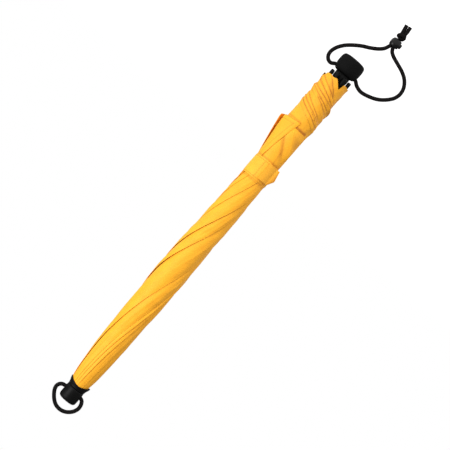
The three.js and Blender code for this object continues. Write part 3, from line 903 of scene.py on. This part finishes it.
def faceted(u, v, turn, z):
    """A valley and a ridge run down across the tab, with the bright facet between them. Painted shade darkens it
    by the valley, past the ridge, along a fold near the strap and under the strap.
    """
    x = 21.5 * np.sin(np.radians(turn))
    valley = x - (-8.8 + (168 - z) * 0.56)
    ridge = x - (-15 + (160 - z) * 0.32)
    across = np.clip(-valley / np.clip(ridge - valley, 5, 12), -2.2, 1.9)
    rise = np.where(across < 0, -0.8 * across, 3.6 * across)
    rise = np.where(across > 1, 3.6 - 3.0 * (across - 1), rise)
    shown_here = ease((v - 0.1) / 0.25) * ease((1.02 - v) / 0.2)
    off = 1.7 + rise * shown_here * 0.8
    off = off * ease((197 - z) / 18)
    past_ridge = ease((across - 1) / 0.5) * ease((0.86 - v) / 0.2)
    painted_shade = (0.6 * np.exp(-((valley - 2.2) / 3.0) ** 2) + 0.3 * past_ridge) * shown_here
    fold = x - (4 - (z - 150) * 0.10)
    painted_shade = painted_shade + 0.35 * np.exp(-((fold + 7) / 1.2) ** 2) * (z > 166)
    return off, np.clip(painted_shade + 0.5 * strap_shadow(z), 0, 0.85)


TAB_NEAR = [(-46, 192), (-47, 170), (-49, 150), (-51, 136), (-52, 124.0)]
TAB_FAR = [(38, 192), (30, 172), (21, 152), (14, 138), (7, 123.8)]
flat_hem = flap("hem_flap_flat", TAB_NEAR, TAB_FAR, faceted, wide=70)


# Closing strap: a doubled band of the canopy's cloth, 34 mm wide, round the bundle. Its end is
# sewn down in a box at the front, and the last stretch is folded back and stands off the side.
def strap_radius(angle):
    lean = 0.9 * np.cos(np.radians(angle))
    return 21.4 + lean + 0.25 * np.sin(np.radians(angle * 3 + 40))


rows, painted_shades = [], []
turns = np.arange(-180, 180, 3.0)
for share in np.linspace(0, 1, 30):
    z = 187.4 + 33.2 * share + 0.5 * np.sin(np.radians(turns))
    r = strap_radius(turns) - 0.5 * abs(2 * share - 1) ** 6
    groove = np.exp(-((share - 0.07) * 33 / 0.7) ** 2) + np.exp(-((share - 0.93) * 33 / 0.7) ** 2)
    f = front_turn(turns)
    box = np.exp(-((f - 11) / 2.2) ** 2) + np.exp(-((f + 55) / 2.2) ** 2)
    mark = np.clip(groove + box, 0, 1)
    r = r - 0.22 * mark
    rows.append(round_points(r, turns, z))
    # Painted shade along the stitched grooves and the box lines.
    painted_shades.append(0.2 * mark)
strap = cloth_grid("strap_band", rows, painted_shades, around=True, thick=0.0011)
strap.data.materials.append(strap_cloth)

rows, painted_shades = [], []
for share in np.linspace(0, 1, 20):
    row, painted_shade = [], []
    for u in np.linspace(0, 1, 28):
        angle = math.radians(-90 - 8 - 44 * min(u / 0.66, 1))
        r = strap_radius(math.degrees(angle)) + 0.75
        out_by = max(0.0, u - 0.6) / 0.4
        far = 4.8 + 6.2 * share if share < 0.6 else 8.5 - 17 * (share - 0.6)
        x = r * math.cos(angle) - far * out_by
        y = r * math.sin(angle) - 1.6 * out_by + 3.0 * out_by**2
        row.append((x / 1000, y / 1000, (188.0 + 28 * share) / 1000))
        stitch = math.exp(-((u - 0.93) * 24 / 0.6) ** 2)
        # Painted shade darkens the part that stands off the side, and a darker line near its far end marks the
        # stitching.
        painted_shade.append(0.05 + 0.55 * out_by * math.exp(-((share - 0.55) / 0.3) ** 2) + 0.2 * stitch)
    rows.append(row)
    painted_shades.append(painted_shade)
strap_end = cloth_grid("strap_end_fold", rows, painted_shades, thick=0.0011)
strap_end.data.materials.append(strap_cloth)
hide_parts("closing_strap")
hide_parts("strap_end")


# Stitching: lockstitch in thick gold thread, 3 mm apart, along both edges of the strap, round its
# sewn box, along the folded end, and along the turned hems of the loose flaps and the hem bands.
def joined(tree, kind, links=(), **settings):
    node = tree.nodes.new(kind)
    for label, value in settings.items():
        setattr(node, label, value)
    for socket, source in links:
        if hasattr(source, "links"):
            tree.links.new(source, node.inputs[socket])
        else:
            node.inputs[socket].default_value = source
    return node


stitch_row = bpy.data.node_groups.new("stitch_row", "GeometryNodeTree")
stitch_row.interface.new_socket("Geometry", in_out="INPUT", socket_type="NodeSocketGeometry")
sizes = {}
for label, value in (("Pitch", 0.003), ("Stitch Length", 0.0022), ("Thread", 0.0005)):
    sizes[label] = stitch_row.interface.new_socket(label, in_out="INPUT", socket_type="NodeSocketFloat")
    sizes[label].default_value = value
stitch_row.interface.new_socket("Material", in_out="INPUT", socket_type="NodeSocketMaterial")
stitch_row.interface.new_socket("Geometry", in_out="OUTPUT", socket_type="NodeSocketGeometry")
given = stitch_row.nodes.new("NodeGroupInput")
result = stitch_row.nodes.new("NodeGroupOutput")
row = joined(stitch_row, "GeometryNodeMeshToCurve", [("Mesh", given.outputs["Geometry"])])
row = joined(stitch_row, "GeometryNodeResampleCurve", [("Curve", row.outputs[0])], mode="LENGTH")
stitch_row.links.new(given.outputs["Pitch"], row.inputs["Length"])
one = joined(stitch_row, "GeometryNodeMeshIcoSphere", [("Radius", 0.5), ("Subdivisions", 2)])
tangent = joined(stitch_row, "GeometryNodeInputTangent")
facing = joined(stitch_row, "FunctionNodeAlignRotationToVector", [("Vector", tangent.outputs[0])], axis="X")
size = joined(stitch_row, "ShaderNodeCombineXYZ", [
    ("X", given.outputs["Stitch Length"]), ("Y", given.outputs["Thread"]), ("Z", given.outputs["Thread"]),
])
laid = joined(stitch_row, "GeometryNodeInstanceOnPoints", [
    ("Points", row.outputs[0]), ("Instance", one.outputs[0]), ("Rotation", facing.outputs[0]),
    ("Scale", size.outputs[0]),
])
real = joined(stitch_row, "GeometryNodeRealizeInstances", [("Geometry", laid.outputs[0])])
painted = joined(stitch_row, "GeometryNodeSetMaterial", [
    ("Geometry", real.outputs[0]), ("Material", given.outputs["Material"]),
])
stitch_row.links.new(painted.outputs[0], result.inputs[0])


STITCH_LENGTH = 0.0022


def stitched(name, rows, thread, material):
    """Stitches along each row of points, as one plain mesh."""
    points, edges = [], []
    for run in rows:
        edges += [(len(points) + i, len(points) + i + 1) for i in range(len(run) - 1)]
        points += [tuple(p) for p in run]
    mesh = bpy.data.meshes.new(name)
    mesh.from_pydata(points, edges, [])
    piece = link(name, mesh)
    sewing = piece.modifiers.new("stitches", "NODES")
    sewing.node_group = stitch_row
    sewing[sizes["Thread"].identifier] = thread
    sewing[sizes["Stitch Length"].identifier] = STITCH_LENGTH
    for item in stitch_row.interface.items_tree:
        if item.name == "Material":
            sewing[item.identifier] = material
    return settle(piece)


def twisted_thread(name, color, roughness, low, high):
    material, tree, shader = principled(name, color, roughness, Specular_IOR_Level=0.3)
    place = tree.nodes.new("ShaderNodeTexCoord")
    twist = joined(tree, "ShaderNodeTexWave", [
        ("Vector", place.outputs["Object"]), ("Scale", 900.0), ("Distortion", 1.0),
    ])
    two_tone(tree, twist.outputs["Fac"], low, high, shader.inputs["Base Color"])
    return material


gold_thread = twisted_thread("gold_thread", (0.80, 0.36, 0.03), 0.55, (0.50, 0.19, 0.012), (0.86, 0.40, 0.035))
brown_thread = twisted_thread("amber_thread", (0.42, 0.15, 0.012), 0.6, (0.26, 0.085, 0.008), (0.50, 0.19, 0.014))


def round_row(turn_from, turn_to, z, lift, count=90):
    turns = np.linspace(turn_from, turn_to, count)
    return round_points(strap_radius(turns) + lift, turns, z + 0.5 * np.sin(np.radians(turns)))


box_left, box_right = -90 - 48, -90 + 11
strap_rows = [round_row(-180, 180, 187.4 + 2.3, -0.15), round_row(-180, 180, 187.4 + 30.9, -0.15)]
for turn in (box_left, box_right):
    turns = np.full(12, turn)
    strap_rows.append(round_points(strap_radius(turns), turns, np.linspace(190.5, 217.5, 12)))
strap_thread = stitched("strap_stitching", strap_rows, 0.0006, gold_thread)

outer_edge = [
    on_flap(OUTER_NEAR, OUTER_FAR, bulging, np.array([6.0 / (20 + 14 * v)]), v)[0][0]
    for v in np.linspace(0.06, 0.91, 50)
]
tab_edge = [
    on_flap(TAB_NEAR, TAB_FAR, faceted, np.array([0.1]), v)[0][0] for v in np.linspace(0.1, 0.955, 30)
]
hem_rows = [
    np.array(outer_edge),
    on_flap(OUTER_NEAR, OUTER_FAR, bulging, np.linspace(0.18, 0.97, 40), 1 - 6.5 / 77)[0],
    on_flap(TAB_NEAR, TAB_FAR, faceted, np.linspace(0.06, 0.94, 30), 0.955)[0],
    np.array(tab_edge),
]
for place_at, slope, first, last in HEM_BANDS:
    turn = np.linspace(max(first + 12, -150), last - 12, 60) - 90
    z = place_at + 6.2 - slope * front_turn(turn)
    lift, _ = lower_lift(turn, z)
    hem_rows.append(round_points(lower_round(turn, z) + lift + 0.15, turn, z))
hem_thread = stitched("hem_stitching", hem_rows, 0.00045, brown_thread)


# Opened canopy: eight gores, one between each rib and the next. Furled, each lies inside the
# bundle as a narrow strip.
def half_share(w):
    """The place across a gore at which the bend has turned by w."""
    low, high = np.zeros_like(w), np.ones_like(w)
    for _ in range(40):
        middle = (low + high) / 2
        less = middle * middle * (3 - 2 * middle) < w
        low, high = np.where(less, middle, low), np.where(less, high, middle)
    return (low + high) / 2


REACH = 5.2
STRIP_RADIUS = PIVOT_RADIUS + ROD_OFFSET + 1.5 + 0.8  # with half the thickness of the rod, and a gap
for i, azimuth in enumerate(RIB_AZIMUTHS):
    n = i + 1
    middle = azimuth + math.radians(22.5)
    bend = half_share(np.linspace(0, 1, 25))
    rows = []
    for run in np.concatenate([[6, 10, 16], np.linspace(24, 580, 48)]):
        r = STRIP_RADIUS + run * math.sin(SPLAY)
        side = r * math.sin(math.radians(22.5))
        spread = np.concatenate([[-side], REACH * (2 * bend - 1), [side]])
        wind = np.concatenate([[0], np.linspace(0, 1, 25), [1]])
        scallop = 26 * (run / 580) ** 3 * 4 * wind * (1 - wind)
        inward = np.sqrt(r * r - spread * spread)
        x = inward * math.cos(middle) - spread * math.sin(middle)
        y = inward * math.sin(middle) + spread * math.cos(middle)
        rows.append(np.stack([x, y, CROWN_PIVOT_Z - run + scallop], axis=1) / 1000)
    gore = cloth_grid(f"gore_cloth_{n}", rows, np.zeros((len(rows), 27)))
    gore.data.materials.append(canopy_cloth)
    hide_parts(f"canopy_gore_{n}")
    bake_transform(gore)

for piece in furled + [lower_furl, loose_hem, rear_hem, flat_hem, strap, strap_end, strap_thread, hem_thread]:
    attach(piece, "handle")
    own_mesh(piece)
for k, piece in enumerate(furled):
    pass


# Tip: a flared black collar, its rim arched front and back, clamps the canopy. The cap above carries
# a round cord loop whose ends are held in the cap's sides.
collar = turned_mesh(
    "collar_flare",
    [
        (5.8, 624.5), (12.4, 624.5), (14.4, 623.2), (16.2, 622.2), (16.8, 622.3), (17, 622.9), (16.6, 624.6),
        (15.7, 627), (14.9, 629.4), (14.55, 631.6), (14.4, 632.9), (5.8, 632.9), (5.8, 624.5),
    ],
    72,
)
# The rim dips at the sides, where it also flares, and rises front and back.
for v in collar.data.vertices:
    low = max(0.0, min(1.0, (0.6312 - v.co.z) / 0.009)) * (math.hypot(v.co.x, v.co.y) > 0.0118)
    front = (v.co.y / max(1e-6, math.hypot(v.co.x, v.co.y))) ** 2
    v.co.z += low * (0.0058 * front - 0.0018)
    v.co.x *= 1 + low * (0.045 - 0.13 * front)
    v.co.y *= 1 + low * (0.045 - 0.13 * front)
collar.data.materials.append(satin_black)
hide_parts("canopy_collar")
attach(collar, "handle")

cap = turned_mesh(
    "tip_cap_shell",
    [
        (0, 640.3), (5.8, 640.3), (5.8, 633.2), (13.9, 633.2), (14.5, 633.6), (14.75, 634.4), (14.8, 636),
        (14.8, 650), (14.6, 652), (14, 653.8), (12.8, 655.1), (11.2, 655.8), (9.5, 656), (0, 656),
    ],
    72,
)
holes = turned_mesh("cap_drill", [(0, -20), (3.3, -20), (3.3, 20), (0, 20)], 28, (0, 0, 0.640), "X")
shaft_core = turned_mesh("cap_core", [(0, -9.4), (4, -9.4), (4, 9.4), (0, 9.4)], 28, (0, 0, 0.640), "X")
spare = holes.modifiers.new("core", "BOOLEAN")
spare.operation = "DIFFERENCE"
spare.object = shaft_core
spare.solver = "EXACT"
settle(holes)
cut = cap.modifiers.new("holes", "BOOLEAN")
cut.object = holes
cut.solver = "EXACT"
settle(cap)
bpy.data.objects.remove(holes)
bpy.data.objects.remove(shaft_core)
cap.data.materials.append(satin_black)
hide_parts("tip_cap")
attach(cap, "handle")

LOOP_CORD = 0.0031  # radius
loop_route = smooth_route([
    (10.2, 640), (15, 640), (19.8, 641), (23.2, 643.8), (24.9, 648.4), (24, 653.6), (20.2, 660),
    (14.2, 666.6), (7.6, 671), (-0.6, 672.6), (-8.8, 671), (-15.2, 667), (-20.4, 660.6), (-22.6, 653.4),
    (-21.6, 646.6), (-18.8, 642), (-14.8, 640), (-10.2, 640),
], 120)
loop = round_cord("tip_loop_cord", loop_route, LOOP_CORD)
loop.data.materials.append(cord_finish)
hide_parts("tip_loop")
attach(loop, "tip_loop")
